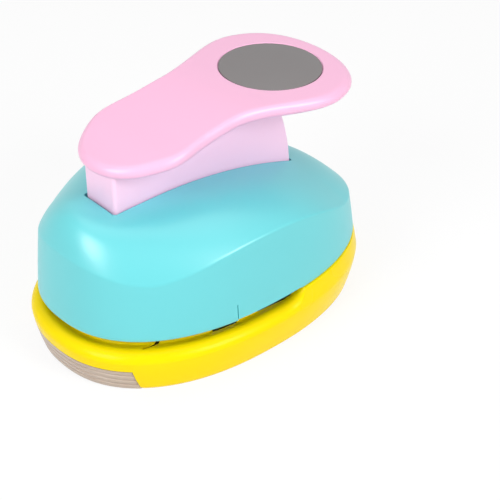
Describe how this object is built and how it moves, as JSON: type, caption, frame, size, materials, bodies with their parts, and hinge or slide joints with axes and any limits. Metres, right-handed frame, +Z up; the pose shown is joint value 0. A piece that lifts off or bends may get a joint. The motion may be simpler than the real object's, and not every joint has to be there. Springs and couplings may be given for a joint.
{
  "type": "lever craft punch",
  "caption": "Lever craft punch that cuts a circle out of paper: an oval base with a pull-out waste tray, a domed cover and a hinged palm lever with a round inlaid pad.",
  "frame": {"origin": "centre of the base's outline at the level of the surface it stands on", "axes": "+X to the rear, where the palm pad is, +Y across the width, +Z up"},
  "size_m": [0.1329, 0.0918, 0.0869],
  "materials": {
    "yellow_plastic": "glossy moulded plastic",
    "turquoise_plastic": "glossy moulded plastic",
    "pink_plastic": "satin to glossy moulded plastic",
    "grey_disc": "flat matt disc",
    "tray_plastic": "tinted moulded plastic",
    "white_plastic": "plain moulded plastic",
    "die_steel": "ground",
    "plate_steel": "rolled sheet",
    "bright_steel": "turned",
    "spring_steel": "drawn wire",
    "dark_steel": "blackened"
  },
  "bodies": {
    "housing": {"lower_base": "yellow_plastic", "die_plate": "die_steel", "throat_spacer": "die_steel", "guide_plate": "plate_steel", "frame_rivets": "bright_steel", "die_screws": "bright_steel", "pivot_bracket": "plate_steel", "bracket_rivets": "bright_steel", "pivot_pin": "bright_steel", "pin_clips": "dark_steel", "guide_posts": "bright_steel", "post_clips": "dark_steel", "return_spring_left": "spring_steel", "return_spring_right": "spring_steel", "top_cover": "turquoise_plastic", "cover_screws": "bright_steel"},
    "lever": {"handle_lever": "pink_plastic", "handle_inlay": "grey_disc", "roller_pin": "bright_steel"},
    "roller": {"press_roller": "plate_steel"},
    "cutter": {"punch_cutter": "die_steel", "punch_carrier": "white_plastic", "punch_screws": "bright_steel"},
    "tray": {"chip_tray": "tray_plastic"}
  },
  "joints": [
    {"name": "lever_hinge", "type": "hinge", "parent": "housing", "child": "lever", "pos_m": [-0.04, 0, 0.044], "axis": [0, 1, 0], "range_deg": [0, 12.6], "stiffness_Nm_per_rad": 1.2, "springref_deg": -20.05},
    {"name": "cutter_slide", "type": "slide", "parent": "housing", "child": "cutter", "axis": [0, 0, -1], "range_m": [0, 0.0055], "deforming": ["return_spring_left", "return_spring_right"]},
    {"name": "roller_spin", "type": "hinge", "parent": "lever", "child": "roller", "pos_m": [-0.015, 0, 0.03765], "axis": [0, 1, 0], "continuous": true},
    {"name": "tray_slide", "type": "slide", "parent": "housing", "child": "tray", "axis": [-1, 0, 0], "range_m": [0, 0.09]}
  ],
  "couplings": [
    {"joint": "cutter_slide", "follows": "lever_hinge", "m_per_rad": 0.025}
  ]
}
